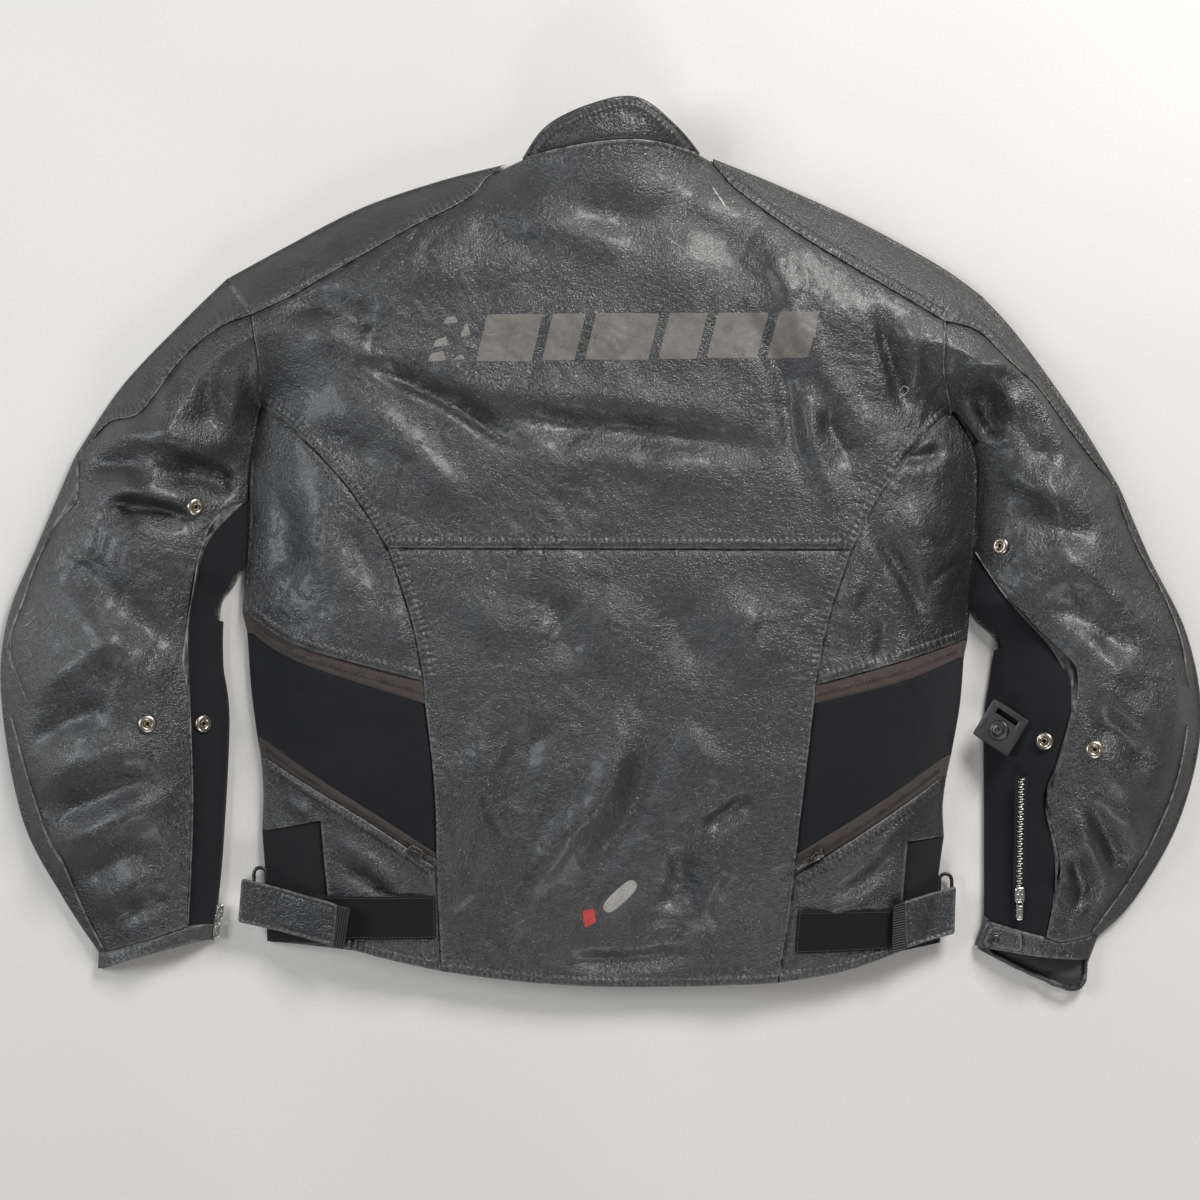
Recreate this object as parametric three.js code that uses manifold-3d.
// A leather riding jacket lying face down: every cut panel, zip, strap, ring, snap and pad is a solid.
// Millimetres, +X to the wearer's right, +Y to the collar, +Z up. The back of the jacket is on top.
import * as THREE from "three";
import { mergeVertices } from "three/addons/utils/BufferGeometryUtils.js";
import Module from "manifold-3d";

const wasm = await Module();
wasm.setup();

// ---- driving dimensions -------------------------------------------------------------------------
const JACKET_WIDTH = 964; // cuff side to cuff side across both sleeves
const JACKET_LENGTH = 708; // collar edge to the lower lip of the right cuff
const LEATHER = 2.4; // leather with its backing
const FABRIC = 1.6; // stretch and vent fabric
const LINING = 1.2; // inner lining
const SEAM_GAP = 0.3; // clearance between pieces that are sewn or rest face to face
const EDGE_RISE = 2.5; // how far the underside lifts off the floor at the side folds
const EDGE_ROLL = 26; // width of that lifted border
const TORSO_CROWN = 46; // how high the back stands above the side folds
const SLEEVE_CROWN = 44; // the same for the sleeves
const CROWN_RUN = 80; // distance from a side fold to the full crown
const COLLAR_THICKNESS = 3.4; // folded leather of the stand collar
const HEM_CROWN = 0.34; // share of the crown left at the hem
const CUFF_CROWN = 0.5; // share of the crown left at the cuffs
const SNAP_DIAMETER = 14.4;
const SNAP_HEIGHT = 3;
const SNAP_BORE = 5;
const STRAP_LEATHER = 3.4; // waist strap, two layers
const PATCH_THICKNESS = 1.6; // hook-and-loop patch
const STRAP_CLEARANCE = 0.9; // between curved pieces that lie on each other
const TAB_THICKNESS = 4.4; // rubber pull tab at the end of the strap
const RING_WIRE = 3; // rectangular ring of the waist adjuster
const RING_LENGTH = 40;
const RING_WIDTH = 12;
const PAD_CLEARANCE = 1.3; // pads hang this much below what they are sewn to
const PAD_THICKNESS = 10; // back protector
const PROTECTOR_WIDTH = 240;
const PROTECTOR_LENGTH = 380;
const PROTECTOR_DROP = 63; // from the collar seam to the protector
const ELBOW_PAD_THICKNESS = 8;
const ELBOW_PAD_WIDTH = 74;
const ELBOW_PAD_LENGTH = 130;
const FRONT_ZIP_WIDTH = 26;
const ZIP_SLIDER = { length: 13, width: 8, height: 3.2, pull: 18 };
const KEEPER = { side: 34, corner: 3, thickness: 5, slot: 20, slotWidth: 4.6, turn: -32, tilt: -26 };
const SLEEVE_STRAP = { width: 20, length: 34, thickness: 1.8 };
const CUFF_ZIP_WIDTH = 10;
const CUFF_ZIP_LENGTH = 116;
const CUFF_ZIP_THICKNESS = 1.2;
const CUFF_TAB_THICKNESS = 2;
const HANGER = { width: 60, drop: 9, wire: 3 };
const MESH_STEP = 24; // spacing of the surface points inside a panel
const PROTECTOR_STEP = 16; // the same for what must follow a panel closely
const CUFF_ZIP_STEP = 5;

// The pattern below is drawn for a jacket of this plan size, and grades with the two overall sizes.
const PATTERN_WIDTH = 964;
const PATTERN_LENGTH = 708;
const GRADE_X = JACKET_WIDTH / PATTERN_WIDTH;
const GRADE_Y = JACKET_LENGTH / PATTERN_LENGTH;

const place = (x, y) => new THREE.Vector2(x * GRADE_X, y * GRADE_Y);

// A sewn line through a few points, rounded between them, sampled about every MESH_STEP.
function seam(...points) {
  const through = points.map(([x, y]) => place(x, y));
  if (through.length === 2) return sample(new THREE.LineCurve(through[0], through[1]));
  return sample(new THREE.SplineCurve(through));
}

function sample(curve) {
  const steps = Math.max(2, Math.round(curve.getLength() / (MESH_STEP * 0.8)));
  return curve.getSpacedPoints(steps);
}

const back = (line) => [...line].reverse();

// A closed outline from seams that follow each other end to end.
function outline(...lines) {
  const points = [];
  for (const line of lines) {
    for (const p of line) {
      const last = points[points.length - 1];
      if (!last || last.distanceTo(p) > 0.05) points.push(p.clone());
    }
  }
  if (points[0].distanceTo(points[points.length - 1]) < 0.05) points.pop();
  if (THREE.ShapeUtils.isClockWise(points)) points.reverse();
  return points;
}

// ---- the pattern: sewn lines of the back, in millimetres ------------------------------------------
const L = {
  shoulderEdge: seam([-76, 309], [-128, 296], [-192, 274], [-256, 241], [-300, 217]),
  shoulderSeam: seam([-76, 309], [-91, 300], [-106, 281], [-160, 251], [-240, 205], [-276, 187]),
  cap: seam([-300, 217], [-276, 187]),
  armhole: seam([-276, 187], [-271, 150], [-274, 116]),
  princess: seam([-274, 116], [-248, 100], [-200, 51], [-167, 1]),
  upperBack: seam([-167, 1], [-148, -58], [-139, -104]),
  flank: seam([-274, 116], [-280, 70], [-281, 20], [-286, -50]),
  zip1Top: seam([-286, -50], [-240, -76], [-139, -104]),
  zip1End: seam([-139, -104], [-138, -122]),
  zip1Low: seam([-282, -66], [-240, -89], [-138, -122]),
  zip1Edge: seam([-286, -50], [-282, -66]),
  ventEdge: seam([-282, -66], [-279, -110], [-274, -150]),
  ventInner: seam([-138, -122], [-131, -185], [-130, -241]),
  zip2Top: seam([-274, -150], [-192, -200], [-130, -241]),
  zip2Low: seam([-271, -166], [-196, -208], [-130, -253]),
  zip2End: seam([-130, -241], [-130, -253]),
  zip2Edge: seam([-274, -150], [-271, -166]),
  hipEdge: seam([-271, -166], [-269, -196], [-270, -226]),
  hipInner: seam([-130, -253], [-129, -296], [-127, -338]),
  notchTop: seam([-270, -226], [-222, -215]),
  notchSide: seam([-222, -215], [-219, -258], [-214, -315]),
  elasticEdge: seam([-270, -226], [-267, -270], [-266, -316]),
  elasticLow: seam([-266, -316], [-214, -315]),
  hipHem: seam([-214, -315], [-172, -327], [-127, -338]),
  overEdge: seam([-300, 217], [-336, 182], [-384, 131], [-422, 74]),
  overSeam: seam([-276, 187], [-304, 177], [-336, 151], [-366, 110], [-396, 102], [-422, 74]),
  outerEdge: seam(
    [-422, 74], [-450, 8], [-476, -56], [-481, -120], [-464, -216], [-431, -280], [-402, -324],
  ),
  outerCuff: seam([-402, -324], [-403, -338]),
  cuffTop: seam([-402, -324], [-368, -314], [-331, -302]),
  cuffTopInner: seam([-331, -302], [-314, -301]),
  cuffLow: seam([-403, -338], [-360, -324], [-316, -314]),
  innerCuff: seam([-314, -301], [-316, -314]),
  sleeveStart: seam([-274, 116], [-284, 80], [-288, 38]),
  pipeSeam: seam([-288, 38], [-306, 28], [-318, 0], [-333, -80], [-328, -110], [-326, -200], [-331, -302]),
  innerEdge: seam(
    [-288, 38], [-292, -20], [-306, -44], [-308, -90], [-303, -138], [-308, -240], [-314, -301],
  ),
};

const R = {
  shoulderEdge: seam([90, 314], [144, 292], [208, 263], [272, 228], [306, 204]),
  shoulderSeam: seam([90, 314], [98, 303], [112, 287], [160, 250], [224, 211], [274, 182]),
  cap: seam([306, 204], [274, 182]),
  armhole: seam([274, 182], [273, 144], [284, 110]),
  princess: seam([284, 110], [264, 94], [224, 48], [198, 0]),
  upperBack: seam([198, 0], [180, -56], [170, -107]),
  flank: seam([284, 110], [300, 80], [302, 40], [298, -20], [294, -72]),
  zip1Top: seam([294, -72], [240, -88], [170, -107]),
  zip1End: seam([170, -107], [169, -122]),
  zip1Low: seam([291, -86], [240, -104], [169, -122]),
  zip1Edge: seam([294, -72], [291, -86]),
  ventEdge: seam([291, -86], [288, -124], [281, -164]),
  ventInner: seam([169, -122], [160, -200], [156, -242]),
  zip2Top: seam([281, -164], [216, -204], [156, -242]),
  zip2Low: seam([277, -182], [216, -220], [154, -261]),
  zip2End: seam([156, -242], [154, -261]),
  zip2Edge: seam([281, -164], [277, -182]),
  hipEdge: seam([277, -182], [274, -206], [275, -231]),
  hipInner: seam([154, -261], [150, -300], [142, -347]),
  notchTop: seam([275, -231], [246, -233]),
  notchSide: seam([246, -233], [243, -276], [242, -322]),
  elasticEdge: seam([275, -231], [270, -272], [272, -317]),
  elasticLow: seam([272, -317], [242, -322]),
  hipHem: seam([242, -322], [194, -338], [142, -347]),
  overEdge: seam([306, 204], [336, 171], [384, 104], [418, 48]),
  overSeam: seam([274, 182], [304, 174], [330, 147], [354, 127], [384, 88], [418, 48]),
  outerEdge: seam([418, 48], [442, -8], [472, -70], [483, -140], [466, -216], [430, -280], [400, -310]),
  outerCuff: seam([400, -310], [392, -331]),
  cuffTop: seam([400, -310], [371, -314], [357, -310]),
  cuffTopInner: seam([357, -310], [336, -305], [314, -299]),
  cuffLow: seam([392, -331], [346, -325], [306, -320]),
  innerCuff: seam([314, -299], [306, -320]),
  lip: seam([392, -331], [390, -349], [378, -353], [346, -340], [306, -320]),
  sleeveStart: seam([284, 110], [304, 82], [308, 50], [302, 0]),
  pipeSeam: seam(
    [302, 0], [324, -38], [356, -74], [377, -100], [364, -165], [354, -200], [366, -256], [357, -310],
  ),
  innerEdge: seam([302, 0], [298, -48], [320, -74], [319, -100], [314, -140], [314, -220], [314, -299]),
};

const neckLeft = seam([-76, 309], [-60, 313]);
const neckRight = seam([78, 318], [90, 314]);
const waistSeam = seam([-167, 1], [198, 0]);
const hem = seam([-127, -338], [-64, -346], [0, -350], [72, -350], [142, -347]);
const collarEdge = seam([-60, 313], [-40, 335], [0, 352], [30, 355], [60, 335], [78, 318]);
const collarBase = seam([-60, 313], [0, 321], [40, 323], [78, 318]);

// ---- the shape of the jacket as it lies -------------------------------------------------------------
const insideOf = (p, ring) => {
  let inside = false;
  for (let i = 0, j = ring.length - 1; i < ring.length; j = i++) {
    const a = ring[i];
    const b = ring[j];
    const crosses = a.y > p.y !== b.y > p.y;
    if (crosses && p.x < ((b.x - a.x) * (p.y - a.y)) / (b.y - a.y) + a.x) inside = !inside;
  }
  return inside;
};

function distanceTo(p, line) {
  let best = Infinity;
  for (let i = 1; i < line.length; i++) {
    const a = line[i - 1];
    const run = line[i].clone().sub(a);
    const along = p.clone().sub(a).dot(run) / Math.max(run.lengthSq(), 1e-9);
    const t = THREE.MathUtils.clamp(along, 0, 1);
    best = Math.min(best, p.distanceTo(run.multiplyScalar(t).add(a)));
  }
  return best;
}

const sideOutline = (S) => [...S.shoulderEdge, ...S.overEdge, ...S.outerEdge, ...S.outerCuff];
const flankLine = (S) => [...S.flank, ...S.ventEdge, ...S.hipEdge, ...S.elasticEdge];
const sleeveInside = (S) => [...S.sleeveStart, ...S.innerEdge, ...S.innerCuff];
const TORSO_FOLDS = [sideOutline(L), sideOutline(R), flankLine(L), flankLine(R)];
const SLEEVE_FOLDS = new Map([
  [L, [sideOutline(L), sleeveInside(L)]],
  [R, [sideOutline(R), sleeveInside(R)]],
]);
const foldDistance = (p, folds) => Math.min(...folds.map((line) => distanceTo(p, line)));

const FOLD_TOP = EDGE_RISE + LEATHER + SEAM_GAP; // underside of the upper shell at a side fold
const HEM_Y = -350 * GRADE_Y;
const CUFF_Y = -330 * GRADE_Y;
const TAPER_RUN = 190;
const arch = (d, run = CROWN_RUN) => 1 - (1 - Math.min(d / run, 1)) ** 2;
const ramp = (from, at) => from + (1 - from) * THREE.MathUtils.smoothstep(at, 0, 1);

// Outer surface of the back and of a sleeve. The crown blends from one to the other across the armhole.
const armBlend = (p) => THREE.MathUtils.smoothstep(Math.abs(p.x), 270 * GRADE_X, 330 * GRADE_X);
const crownAt = (p) => TORSO_CROWN + (SLEEVE_CROWN - TORSO_CROWN) * armBlend(p);
const torsoTop = (p) => {
  const taper = ramp(HEM_CROWN, (p.y - HEM_Y) / TAPER_RUN);
  return FOLD_TOP + LEATHER + crownAt(p) * taper * arch(foldDistance(p, TORSO_FOLDS));
};
const sleeveTop = (S) => (p) => {
  const taper = ramp(CUFF_CROWN, (p.y - CUFF_Y) / TAPER_RUN);
  return FOLD_TOP + LEATHER + crownAt(p) * taper * arch(foldDistance(p, SLEEVE_FOLDS.get(S)));
};
const undersideAt = (folds) => (p) =>
  EDGE_RISE * (1 - Math.min(foldDistance(p, folds) / EDGE_ROLL, 1)) ** 2;

// ---- solids -------------------------------------------------------------------------------------------
// Pulls an outline in by half a seam gap, so that panels sewn to each other lie a seam gap apart.
function inset(points, by = SEAM_GAP / 2) {
  const n = points.length;
  return points.map((p, i) => {
    const before = p.clone().sub(points[(i + n - 1) % n]).normalize();
    const after = points[(i + 1) % n].clone().sub(p).normalize();
    const n1 = new THREE.Vector2(-before.y, before.x);
    const n2 = new THREE.Vector2(-after.y, after.x);
    const along = n1.clone().add(n2);
    const scale = by / Math.max(0.3, 1 + n1.dot(n2));
    return p.clone().add(along.multiplyScalar(scale));
  });
}

// Triangles over an outline with extra points inside it, made even by flipping long diagonals.
function surfaceTriangles(ring, step = MESH_STEP) {
  const points = [...ring];
  let triangles = THREE.ShapeUtils.triangulateShape(ring, []).map((t) => [...t]);
  const twice = (a, b, c) => (b.x - a.x) * (c.y - a.y) - (b.y - a.y) * (c.x - a.x);
  triangles = triangles.map(([a, b, c]) =>
    twice(points[a], points[b], points[c]) < 0 ? [a, c, b] : [a, b, c],
  );
  const box = new THREE.Box2().setFromPoints(ring);
  const closed = [...ring, ring[0]];
  for (let row = Math.ceil(box.min.y / step); row * step < box.max.y; row++) {
    const shift = row % 2 ? 0.5 : 0;
    for (let col = Math.floor(box.min.x / step); col * step < box.max.x; col++) {
      const p = new THREE.Vector2((col + shift) * step + 0.137, row * step + 0.071);
      if (!insideOf(p, ring) || distanceTo(p, closed) < step * 0.42) continue;
      insertPoint(p);
    }
  }
  function insertPoint(p) {
    const at = triangles.findIndex(
      ([a, b, c]) =>
        twice(points[a], points[b], p) > 0 &&
        twice(points[b], points[c], p) > 0 &&
        twice(points[c], points[a], p) > 0,
    );
    if (at < 0) return;
    const [a, b, c] = triangles[at];
    const n = points.push(p) - 1;
    triangles.splice(at, 1, [a, b, n], [b, c, n], [c, a, n]);
  }
  for (let pass = 0; pass < 40 && flipOnce(points, triangles, twice); pass++);
  return { points, triangles };
}

// One pass of Delaunay flips. Returns whether anything changed.
function flipOnce(points, triangles, twice) {
  const owner = new Map();
  let changed = false;
  triangles.forEach((t, at) => {
    for (let k = 0; k < 3; k++) owner.set(t[k] + "_" + t[(k + 1) % 3], at);
  });
  const touched = new Set();
  for (const [key, at] of owner) {
    const [a, b] = key.split("_").map(Number);
    const other = owner.get(b + "_" + a);
    if (other === undefined || touched.has(at) || touched.has(other)) continue;
    const c = triangles[at].find((v) => v !== a && v !== b);
    const d = triangles[other].find((v) => v !== a && v !== b);
    if (!inCircle(points[a], points[b], points[c], points[d])) continue;
    if (twice(points[a], points[d], points[c]) <= 1e-6) continue;
    if (twice(points[d], points[b], points[c]) <= 1e-6) continue;
    triangles[at] = [a, d, c];
    triangles[other] = [d, b, c];
    touched.add(at).add(other);
    changed = true;
  }
  return changed;
}

function inCircle(a, b, c, d) {
  const rows = [a, b, c].map((p) => [p.x - d.x, p.y - d.y, (p.x - d.x) ** 2 + (p.y - d.y) ** 2]);
  const m = new THREE.Matrix3().set(...rows[0], ...rows[1], ...rows[2]);
  return m.determinant() > 1e-3;
}

// A closed sheet over an outline, from its upper and lower surface heights.
function sheet(ring, top, bottom, step = MESH_STEP) {
  const { points, triangles } = surfaceTriangles(inset(ring), step);
  const n = points.length;
  const positions = [];
  for (const p of points) positions.push(p.x, p.y, top(p));
  for (const p of points) positions.push(p.x, p.y, bottom(p));
  const index = [];
  for (const [a, b, c] of triangles) index.push(a, b, c, c + n, b + n, a + n);
  for (let i = 0; i < ring.length; i++) {
    const j = (i + 1) % ring.length;
    index.push(i, i + n, j + n, i, j + n, j);
  }
  const g = new THREE.BufferGeometry();
  g.setAttribute("position", new THREE.BufferAttribute(new Float32Array(positions), 3));
  g.setIndex(index);
  return g;
}

const shell = (ring, top, thickness = LEATHER) => sheet(ring, top, (p) => top(p) - thickness);
const tray = (ring, folds, thickness = LEATHER) => {
  const under = undersideAt(folds);
  return sheet(ring, (p) => under(p) + thickness, under);
};

function solidOf(geometry) {
  const bare = geometry.clone();
  for (const name of Object.keys(bare.attributes)) if (name !== "position") bare.deleteAttribute(name);
  const merged = mergeVertices(bare, 1e-4);
  const triVerts = new Uint32Array(merged.index.array);
  const vertProperties = merged.attributes.position.array;
  return new wasm.Manifold(new wasm.Mesh({ numProp: 3, vertProperties, triVerts }));
}

function geometryOf(solid) {
  const mesh = solid.getMesh();
  const g = new THREE.BufferGeometry();
  g.setAttribute("position", new THREE.BufferAttribute(new Float32Array(mesh.vertProperties), 3));
  g.setIndex(new THREE.BufferAttribute(mesh.triVerts, 1));
  return g;
}

const joinSolids = (...parts) => geometryOf(parts.map(solidOf).reduce((a, b) => a.add(b)));

// ---- finishes -----------------------------------------------------------------------------------------
const finish = (color, roughness, metalness = 0) => () =>
  new THREE.MeshStandardMaterial({ color, roughness, metalness });
const leather = finish(0x1e1f21, 0.42);
const fabric = finish(0x15161b, 0.95);
const zipTape = finish(0x2b2625, 0.7);
const metal = finish(0x8a8378, 0.3, 0.9);
const rubber = finish(0x17181a, 0.6);
const plastic = finish(0x121315, 0.35);
const pile = finish(0x101114, 1);
const foam = finish(0x4a4d52, 0.9);

const jacket = new THREE.Group();
function add(name, geometry, material, parent = jacket) {
  const mesh = new THREE.Mesh(geometry, material());
  mesh.name = name;
  parent.add(mesh);
  return mesh;
}

// ---- pieces that lie on the panels ---------------------------------------------------------------------
const FINE = 12; // point spacing on small pieces
const named = (...names) => names.map((name) => jacket.getObjectByName(name));
const raycaster = new THREE.Raycaster();
const DOWN = new THREE.Vector3(0, 0, -1);
// Steps past the gap of a seam.
const ASIDE = [[0, 0], [0.6, 0], [-0.6, 0], [0, 0.6], [0, -0.6]];
function surfaceZ(x, y, meshes) {
  for (const [dx, dy] of ASIDE) {
    raycaster.set(new THREE.Vector3(x + dx, y + dy, 500), DOWN);
    const hit = raycaster.intersectObjects(meshes, false)[0];
    if (hit) return hit.point.z;
  }
  return -Infinity;
}

// The upward direction of the surface around a point, over a reach of r.
function surfaceNormal(x, y, meshes, r) {
  const slopeX = (surfaceZ(x + r, y, meshes) - surfaceZ(x - r, y, meshes)) / (2 * r);
  const slopeY = (surfaceZ(x, y + r, meshes) - surfaceZ(x, y - r, meshes)) / (2 * r);
  return new THREE.Vector3(-slopeX, -slopeY, 1).normalize();
}

// Raises a placed mesh until it just clears the pieces below it.
function settle(mesh, meshes, gap = SEAM_GAP) {
  mesh.updateMatrixWorld(true);
  const flatMesh = mesh.geometry.index ? mesh.geometry.toNonIndexed() : mesh.geometry;
  const at = flatMesh.getAttribute("position");
  const corners = [0, 1, 2].map(() => new THREE.Vector3());
  const parts = 4;
  let lift = -Infinity;
  for (let i = 0; i < at.count; i += 3) {
    corners.forEach((c, k) => c.fromBufferAttribute(at, i + k).applyMatrix4(mesh.matrixWorld));
    for (let a = 0; a <= parts; a++) {
      for (let b = 0; a + b <= parts; b++) {
        const p = new THREE.Vector3()
          .addScaledVector(corners[0], a / parts)
          .addScaledVector(corners[1], b / parts)
          .addScaledVector(corners[2], 1 - (a + b) / parts);
        lift = Math.max(lift, surfaceZ(p.x, p.y, meshes) + gap - p.z);
      }
    }
  }
  mesh.position.z += lift;
  mesh.updateMatrixWorld(true);
}

const UP = new THREE.Vector3(0, 0, 1);
function layOn(mesh, x, y, meshes, reach, heading = 0) {
  const p = place(x, y);
  const normal = surfaceNormal(p.x, p.y, meshes, reach);
  mesh.quaternion.setFromUnitVectors(UP, normal);
  mesh.rotateZ(THREE.MathUtils.degToRad(heading));
  mesh.position.set(p.x, p.y, surfaceZ(p.x, p.y, meshes));
  settle(mesh, meshes);
}

// The height of what lies below a point, which beside the panels is the top of a side fold.
const over = (meshes) => (p) => Math.max(surfaceZ(p.x, p.y, meshes), FOLD_TOP + LEATHER);

// ---- back of the jacket -------------------------------------------------------------------------------
const yokeRing = outline(
  neckLeft, collarBase, neckRight, R.shoulderSeam, R.armhole, R.princess, back(waistSeam),
  back(L.princess), back(L.armhole), back(L.shoulderSeam),
);
const lowerRing = outline(
  waistSeam, R.upperBack, R.zip1End, R.ventInner, R.zip2End, R.hipInner, back(hem), back(L.hipInner),
  back(L.zip2End), back(L.ventInner), back(L.zip1End), back(L.upperBack),
);
add("back_yoke_panel", shell(yokeRing, torsoTop), leather);
add("lower_back_panel", shell(lowerRing, torsoTop), leather);

function torsoSide(side, S) {
  const ring = (...lines) => outline(...lines);
  const panels = {
    shoulder_panel: [ring(S.shoulderEdge, S.cap, back(S.shoulderSeam)), leather, LEATHER],
    side_back_panel: [ring(S.flank, S.zip1Top, back(S.upperBack), back(S.princess)), leather, LEATHER],
    upper_side_zip: [ring(S.zip1Top, S.zip1End, back(S.zip1Low), back(S.zip1Edge)), zipTape, FABRIC],
    side_vent_panel: [ring(S.zip1Low, S.ventInner, back(S.zip2Top), back(S.ventEdge)), fabric, FABRIC],
    lower_side_zip: [ring(S.zip2Top, S.zip2End, back(S.zip2Low), back(S.zip2Edge)), zipTape, FABRIC],
    hip_panel: [
      ring(S.zip2Low, S.hipInner, back(S.hipHem), back(S.notchSide), back(S.notchTop), back(S.hipEdge)),
      leather,
      LEATHER,
    ],
    waist_insert: [ring(S.notchTop, S.notchSide, back(S.elasticLow), back(S.elasticEdge)), fabric, FABRIC],
  };
  for (const [name, [points, material, thickness]] of Object.entries(panels)) {
    add(`${side}_${name}`, shell(points, torsoTop, thickness), material);
  }
}
torsoSide("left", L);
torsoSide("right", R);

// ---- sleeves ------------------------------------------------------------------------------------------
const sleeveShellRing = (S) =>
  outline(S.armhole, S.sleeveStart, S.pipeSeam, back(S.cuffTop), back(S.outerEdge), back(S.overSeam));
const stretchRing = (S) => outline(S.pipeSeam, S.cuffTopInner, back(S.innerEdge));
const cuffRing = (S) => outline(S.cuffTop, S.cuffTopInner, S.innerCuff, back(S.cuffLow), back(S.outerCuff));
const lipLine = (S) => S.lip ?? S.cuffLow; // a cuff's underside can reach past its upper half
const sleeveUnderRing = (S) =>
  outline(
    S.cap, S.armhole, S.sleeveStart, S.innerEdge, S.innerCuff, back(lipLine(S)), back(S.outerCuff),
    back(S.outerEdge), back(S.overEdge),
  );

function sleeve(side, S) {
  const group = new THREE.Group();
  jacket.add(group);
  const top = sleeveTop(S);
  const overarmRing = outline(S.overEdge, back(S.overSeam), back(S.cap));
  add(`${side}_overarm_panel`, shell(overarmRing, top), leather, group);
  add(`${side}_sleeve_panel`, shell(sleeveShellRing(S), top), leather, group);
  add(`${side}_sleeve_stretch_panel`, shell(stretchRing(S), top, FABRIC), fabric, group);
  add(`${side}_cuff_band`, shell(cuffRing(S), top), leather, group);
  add(`${side}_sleeve_underside`, tray(sleeveUnderRing(S), SLEEVE_FOLDS.get(S)), leather, group);
  return group;
}
const leftSleeve = sleeve("left", L);
const rightSleeve = sleeve("right", R);

// ---- front, collar and inner pieces ------------------------------------------------------------------
const frontCentre = 4 * GRADE_X;
const zipHalf = FRONT_ZIP_WIDTH / 2;
const frontHem = -346 * GRADE_Y;
const frontNeck = 262 * GRADE_Y;
const neckFront = (shoulder, middle, sign) => {
  const foot = new THREE.Vector2(frontCentre + sign * zipHalf, frontNeck);
  return sample(new THREE.SplineCurve([place(...shoulder), place(...middle), foot]));
};
const neckFrontLeft = neckFront([-76, 309], [-46, 281], -1);
const neckFrontRight = neckFront([90, 314], [56, 282], 1);
function frontRing(S, sign, neck) {
  const folds = [S.shoulderEdge, S.cap, S.armhole, S.flank, S.zip1Edge, S.ventEdge, S.zip2Edge, S.hipEdge];
  const hemPoint = new THREE.Vector2(frontCentre + sign * zipHalf, frontHem);
  return outline(...folds, S.elasticEdge, [hemPoint], back(neck));
}
add("left_front_panel", tray(frontRing(L, -1, neckFrontLeft), TORSO_FOLDS), leather);
add("right_front_panel", tray(frontRing(R, 1, neckFrontRight), TORSO_FOLDS), leather);

const rect = (x0, y0, x1, y1) => [
  new THREE.Vector2(x0, y0),
  new THREE.Vector2(x1, y0),
  new THREE.Vector2(x1, y1),
  new THREE.Vector2(x0, y1),
];
const flat = (z) => () => z;
const ZIP_LEVEL = LEATHER + SEAM_GAP;
const zipReach = zipHalf + 8;
const zipTop = frontNeck - 8;
const WHOLE = 1000; // a step that leaves a flat piece with no points inside it
const zipRing = rect(frontCentre - zipReach, frontHem + 6, frontCentre + zipReach, zipTop);
add("front_zip", sheet(zipRing, flat(ZIP_LEVEL + FABRIC), flat(ZIP_LEVEL), WHOLE), zipTape);

// Zip slider with its underside at local z 0 and its flat pull trailing towards local -Y.
function sliderGeometry(height = ZIP_SLIDER.height) {
  const body = new THREE.BoxGeometry(ZIP_SLIDER.width, ZIP_SLIDER.length, height);
  body.translate(0, 0, height / 2);
  const shape = new THREE.Shape();
  shape.absarc(0, 0, ZIP_SLIDER.width * 0.36, 0, Math.PI);
  shape.absarc(0, -ZIP_SLIDER.pull, ZIP_SLIDER.width * 0.36, Math.PI, 2 * Math.PI);
  const pull = new THREE.ExtrudeGeometry(shape, { depth: 1, bevelEnabled: false, curveSegments: 6 });
  pull.translate(0, -ZIP_SLIDER.length * 0.3, height * 0.45);
  return joinSolids(body, pull);
}
const frontSlider = add("front_zip_slider", sliderGeometry(ZIP_LEVEL - 2 * SEAM_GAP), metal);
frontSlider.position.set(frontCentre, frontNeck - 40, SEAM_GAP);

const collarFrontRing = outline(
  neckFrontLeft, back(neckFrontRight), back(neckRight), back(collarEdge), back(neckLeft),
);
add("collar_back", shell(outline(collarBase, back(collarEdge)), torsoTop, COLLAR_THICKNESS), leather);
add("collar_front", sheet(collarFrontRing, flat(COLLAR_THICKNESS), flat(0), WHOLE), leather);

const LINING_INSET = 12; // the lining's sewn edge inside the edge of the back
const liningRing = inset(outline(
  neckLeft, collarBase, neckRight, R.shoulderSeam, R.armhole, R.princess, R.upperBack, R.zip1End, R.ventInner,
  R.zip2End, R.hipInner, back(hem), back(L.hipInner), back(L.zip2End), back(L.ventInner), back(L.zip1End),
  back(L.upperBack), back(L.princess), back(L.armhole), back(L.shoulderSeam),
), LINING_INSET);
const liningLine = [...liningRing, liningRing[0]];
const LINING_CLEARANCE = 2.4;
const LINING_SAG = 3; // the lining hangs free of the back between its sewn edges
const SAG_RUN = 30;
const backSkin = over(named("back_yoke_panel", "lower_back_panel"));
const liningTop = (p) =>
  backSkin(p) -
  LEATHER -
  LINING_CLEARANCE -
  LINING_SAG * THREE.MathUtils.smoothstep(distanceTo(p, liningLine), 0, SAG_RUN);
const underLining = (p) => liningTop(p) - LINING;
add("back_lining", sheet(liningRing, liningTop, underLining), fabric);

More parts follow.
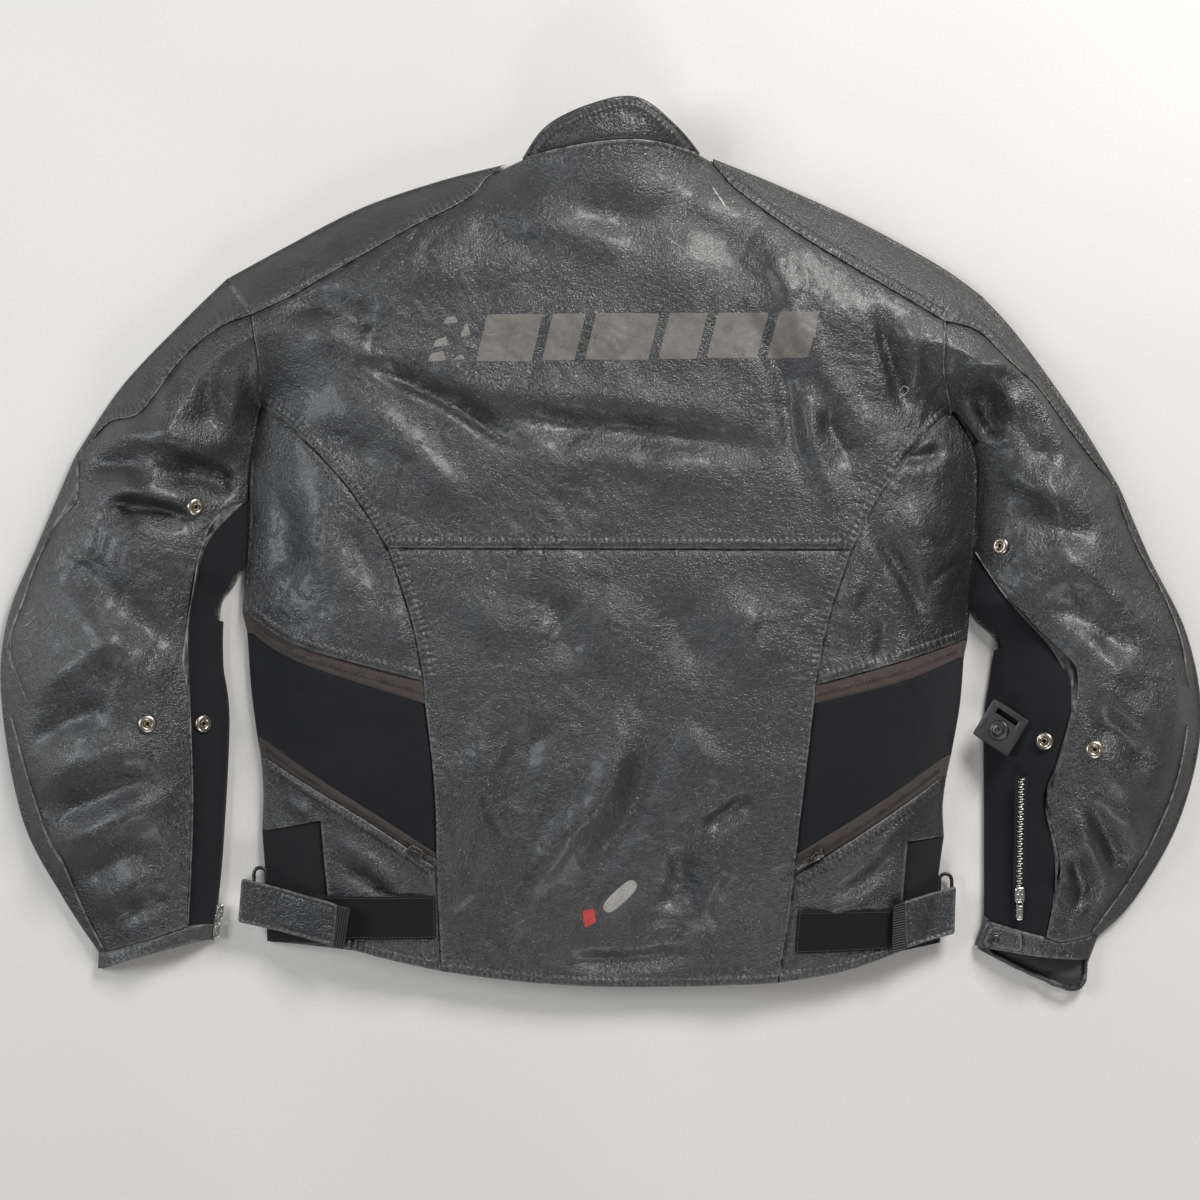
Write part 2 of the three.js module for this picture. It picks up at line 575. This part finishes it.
// An oval, squarer than an ellipse, for pads.
function padRing(centre, width, length, turn = 0, sides = 20) {
  return Array.from({ length: sides }, (_, i) => {
    const a = (i / sides) * 2 * Math.PI;
    const squared = (v) => Math.sign(v) * Math.abs(v) ** 0.7;
    const p = new THREE.Vector2((squared(Math.cos(a)) * width) / 2, (squared(Math.sin(a)) * length) / 2);
    return p.rotateAround(new THREE.Vector2(), THREE.MathUtils.degToRad(turn)).add(centre);
  });
}
const liningSkin = over(named("back_lining"));
const protectorTop = (p) => liningSkin(p) - LINING - STRAP_CLEARANCE;
const protectorY = 313 * GRADE_Y - PROTECTOR_DROP - PROTECTOR_LENGTH / 2;
const protectorAt = new THREE.Vector2(14 * GRADE_X, protectorY);
const protectorRing = padRing(protectorAt, PROTECTOR_WIDTH, PROTECTOR_LENGTH);
const protectorUnder = (p) => protectorTop(p) - PAD_THICKNESS;
add("back_protector", sheet(protectorRing, protectorTop, protectorUnder, PROTECTOR_STEP), foam);

// Hanger loop: a cord bow that hangs from the lining inside the neck.
function hangerGeometry() {
  const mid = place(10, 300);
  const half = HANGER.width / 2;
  const reach = half + HANGER.wire;
  const under = [-1, -0.5, 0, 0.5, 1].map((t) => new THREE.Vector2(mid.x + t * reach, mid.y + HANGER.drop));
  const level = Math.min(...under.map(underLining)) - HANGER.wire / 2 + SEAM_GAP;
  const bow = [
    [-1, HANGER.drop, 0],
    [-0.6, 0, -2],
    [0, -HANGER.drop * 0.4, -4],
    [0.6, 0, -2],
    [1, HANGER.drop, 0],
  ];
  const path = new THREE.CatmullRomCurve3(
    bow.map(
      ([across, along, rise]) => new THREE.Vector3(mid.x + across * half, mid.y + along, level + rise),
    ),
  );
  const section = new THREE.Shape().absarc(0, 0, HANGER.wire / 2, 0, 2 * Math.PI);
  const settings = { steps: 14, curveSegments: 4, extrudePath: path, bevelEnabled: false };
  return new THREE.ExtrudeGeometry(section, settings);
}
add("hanger_loop", hangerGeometry(), fabric);

// Elbow pads: curved foam caps hung under the sleeve panels.
function elbowPad(side, x, y, turn, group) {
  const skin = over(named(`${side}_sleeve_panel`, `${side}_sleeve_stretch_panel`));
  const upper = (p) => skin(p) - LEATHER - SEAM_GAP - PAD_CLEARANCE;
  const ring = padRing(place(x, y), ELBOW_PAD_WIDTH, ELBOW_PAD_LENGTH, turn);
  add(`${side}_elbow_pad`, sheet(ring, upper, (p) => upper(p) - ELBOW_PAD_THICKNESS), foam, group);
}
elbowPad("left", -394, -66, 10, leftSleeve);
elbowPad("right", 412, -106, -8, rightSleeve);

// ---- waist adjusters -----------------------------------------------------------------------------------

function ringGeometry() {
  const frame = (w, l, shape) => {
    shape.moveTo(-w / 2, -l / 2);
    shape.lineTo(w / 2, -l / 2);
    shape.lineTo(w / 2, l / 2);
    shape.lineTo(-w / 2, l / 2);
    shape.closePath();
    return shape;
  };
  const shape = frame(RING_WIDTH, RING_LENGTH, new THREE.Shape());
  shape.holes.push(frame(RING_WIDTH - 2 * RING_WIRE, RING_LENGTH - 2 * RING_WIRE, new THREE.Path()));
  return new THREE.ExtrudeGeometry(shape, { depth: RING_WIRE, bevelEnabled: false });
}

// A straight-sided outline with points along its sides, so that it can follow a curved surface.
function corners(points) {
  const ring = points.map(([x, y]) => place(x, y));
  if (THREE.ShapeUtils.isClockWise(ring)) ring.reverse();
  return alongSides(ring);
}
function alongSides(ring, step = FINE) {
  return ring.flatMap((a, i) => {
    const b = ring[(i + 1) % ring.length];
    const steps = Math.ceil(a.distanceTo(b) / step);
    return Array.from({ length: steps }, (_, k) => a.clone().lerp(b, k / steps));
  });
}
const RING_LEVEL = FOLD_TOP + LEATHER - RING_WIRE;

// The strap is folded at its outer end, where it turns through the ring. Its inner end grips the patch.
function waistAdjuster(side, sign, { ring, strap, tab, patch }) {
  const panels = named(`${side}_hip_panel`, `${side}_waist_insert`, `${side}_lower_side_zip`);
  const onPanel = (p) => over(panels)(p) + STRAP_CLEARANCE;
  const patchTop = (p) => onPanel(p) + PATCH_THICKNESS;
  add(`${side}_loop_patch`, sheet(corners(patch), patchTop, onPanel, FINE), pile);
  const ringMesh = add(`${side}_strap_ring`, ringGeometry(), metal);
  const ringAt = place(...ring);
  ringMesh.position.set(ringAt.x + (sign * RING_WIDTH) / 2, ringAt.y, RING_LEVEL);
  const patchEdge = Math.abs(corners(patch)[0].x);
  const level = (p) => {
    const overPatch = 1 - THREE.MathUtils.smoothstep(Math.abs(p.x), patchEdge + 2, patchEdge + 14);
    return over(panels)(p) + STRAP_CLEARANCE * (1 + overPatch) + overPatch * PATCH_THICKNESS;
  };
  add(`${side}_waist_strap`, sheet(corners(strap), (p) => level(p) + STRAP_LEATHER, level, FINE), leather);
  add(`${side}_pull_tab`, sheet(corners(tab), (p) => level(p) + TAB_THICKNESS, level, FINE), rubber);
}
waistAdjuster("left", -1, {
  ring: [-268.5, -276],
  strap: [[-287, -263], [-290, -298], [-212, -316], [-208, -282]],
  tab: [[-208, -282], [-212, -316], [-204, -318], [-198, -284]],
  patch: [[-228, -276], [-228, -311], [-131, -311], [-131, -276]],
});
waistAdjuster("right", 1, {
  ring: [273, -281],
  strap: [[286, -270], [243, -281], [245, -319], [285, -308]],
  tab: [[243, -281], [234, -284], [233, -321], [245, -319]],
  patch: [[256, -288], [158, -288], [156, -323], [256, -319]],
});

// ---- snaps ---------------------------------------------------------------------------------------------
// A ring snap: a domed collar round an open bore.
function snapGeometry() {
  const outer = SNAP_DIAMETER / 2;
  const bore = SNAP_BORE / 2;
  const profile = [
    [bore, 0],
    [outer, 0],
    [outer, SNAP_HEIGHT * 0.35],
    [outer * 0.84, SNAP_HEIGHT],
    [bore * 1.5, SNAP_HEIGHT * 0.8],
    [bore, 0],
  ];
  const g = new THREE.LatheGeometry(profile.map(([r, z]) => new THREE.Vector2(r, z)), 14);
  return g.rotateX(Math.PI / 2);
}
const SNAPS = {
  left: [[-322, 34], [-358, -138], [-318, -139]],
  right: [[320, 3], [390, -158], [353, -152]],
};
const SNAP_PLACES = ["upper", "outer", "inner"];
for (const [side, group] of [["left", leftSleeve], ["right", rightSleeve]]) {
  const skin = named(`${side}_sleeve_panel`, `${side}_sleeve_stretch_panel`);
  SNAPS[side].forEach(([x, y], i) => {
    const snap = add(`${side}_${SNAP_PLACES[i]}_snap`, snapGeometry(), metal, group);
    layOn(snap, x, y, skin, SNAP_DIAMETER / 2);
  });
}

// ---- side and cuff zip sliders ---------------------------------------------------------------------------
function sideSlider(side, x, y, heading) {
  const panels = ["lower_side_zip", "side_vent_panel", "hip_panel"].map((name) => `${side}_${name}`);
  const skin = named("lower_back_panel", ...panels);
  const slider = add(`${side}_side_zip_slider`, sliderGeometry(), metal);
  layOn(slider, x, y, skin, ZIP_SLIDER.width / 2, heading);
}
sideSlider("left", -146, -239, 60);
sideSlider("right", 172, -242, -60);

// Right cuff: a metal zip up the stretch panel, closed by a tab on the cuff band.
const rightCuff = over(named("right_sleeve_stretch_panel", "right_cuff_band", "right_sleeve_panel"));
const cuffZipFoot = [336, -297];
const zipFoot = place(...cuffZipFoot);
const cuffZipRing = rect(
  zipFoot.x - CUFF_ZIP_WIDTH / 2,
  zipFoot.y,
  zipFoot.x + CUFF_ZIP_WIDTH / 2,
  zipFoot.y + CUFF_ZIP_LENGTH,
);
const onSleeve = (p) => rightCuff(p) + STRAP_CLEARANCE;
const cuffZipTop = (p) => onSleeve(p) + CUFF_ZIP_THICKNESS;
const cuffZip = sheet(alongSides(cuffZipRing, CUFF_ZIP_STEP), cuffZipTop, onSleeve, CUFF_ZIP_STEP);
add("right_cuff_zip", cuffZip, zipTape, rightSleeve);
const cuffSlider = add("right_cuff_zip_slider", sliderGeometry(), metal, rightSleeve);
layOn(cuffSlider, 336, -276, named("right_cuff_zip"), ZIP_SLIDER.width / 2 - 1);
settle(cuffSlider, named("right_cuff_zip", "right_sleeve_stretch_panel"));

const cuffTab = corners([[308, -318], [315, -302], [338, -307], [338, -322]]);
const tabLevel = (p) => rightCuff(p) + STRAP_CLEARANCE;
const tabTop = (p) => tabLevel(p) + CUFF_TAB_THICKNESS;
add("right_cuff_tab", sheet(cuffTab, tabTop, tabLevel, FINE), leather, rightSleeve);

// Left cuff: only the slider of its zip shows, beside the inner edge.
const leftCuffSlider = add("left_cuff_zip_slider", sliderGeometry(), metal, leftSleeve);
leftCuffSlider.rotation.z = -Math.atan2(6, 61); // in line with the sleeve's inner edge
const leftCuffInner = place(-313, -292);
leftCuffSlider.position.set(leftCuffInner.x + ZIP_SLIDER.width / 2 + 0.6, leftCuffInner.y, EDGE_RISE);

// Right sleeve adjuster: a square plastic keeper on a short webbing strap.
function keeperGeometry() {
  const h = KEEPER.side / 2;
  const c = KEEPER.corner;
  const shape = new THREE.Shape();
  shape.absarc(h - c, h - c, c, 0, Math.PI / 2);
  shape.absarc(c - h, h - c, c, Math.PI / 2, Math.PI);
  shape.absarc(c - h, c - h, c, Math.PI, Math.PI * 1.5);
  shape.absarc(h - c, c - h, c, Math.PI * 1.5, 2 * Math.PI);
  const slot = new THREE.Path();
  const top = h - KEEPER.slotWidth;
  slot.moveTo(-KEEPER.slot / 2, top);
  slot.lineTo(KEEPER.slot / 2, top);
  slot.lineTo(KEEPER.slot / 2, top - KEEPER.slotWidth);
  slot.lineTo(-KEEPER.slot / 2, top - KEEPER.slotWidth);
  slot.closePath();
  shape.holes.push(slot);
  const settings = { depth: KEEPER.thickness, bevelEnabled: false, curveSegments: 3 };
  return new THREE.ExtrudeGeometry(shape, settings);
}
const keeperSkin = named("right_sleeve_panel", "right_sleeve_stretch_panel", "right_inner_snap");
const strapAt = place(322, -142);
function laidPiece(name, geometry, material, at, skin) {
  const mesh = add(name, geometry, material, rightSleeve);
  mesh.rotation.set(0, THREE.MathUtils.degToRad(KEEPER.tilt), 0);
  mesh.rotateZ(THREE.MathUtils.degToRad(KEEPER.turn));
  mesh.position.set(at.x, at.y, 0);
  settle(mesh, skin);
  return mesh;
}
const webbing = new THREE.BoxGeometry(SLEEVE_STRAP.width, SLEEVE_STRAP.length, SLEEVE_STRAP.thickness);
laidPiece("right_sleeve_strap", webbing, fabric, strapAt, keeperSkin);
keeperSkin.push(...named("right_sleeve_strap"));
laidPiece("right_strap_keeper", keeperGeometry(), plastic, strapAt, keeperSkin);

// The origin is the middle of the jacket's plan, on the surface that it lies on.
const extent = new THREE.Box3().setFromObject(jacket, true);
jacket.position.set(-(extent.min.x + extent.max.x) / 2, -(extent.min.y + extent.max.y) / 2, -extent.min.z);

export default jacket;
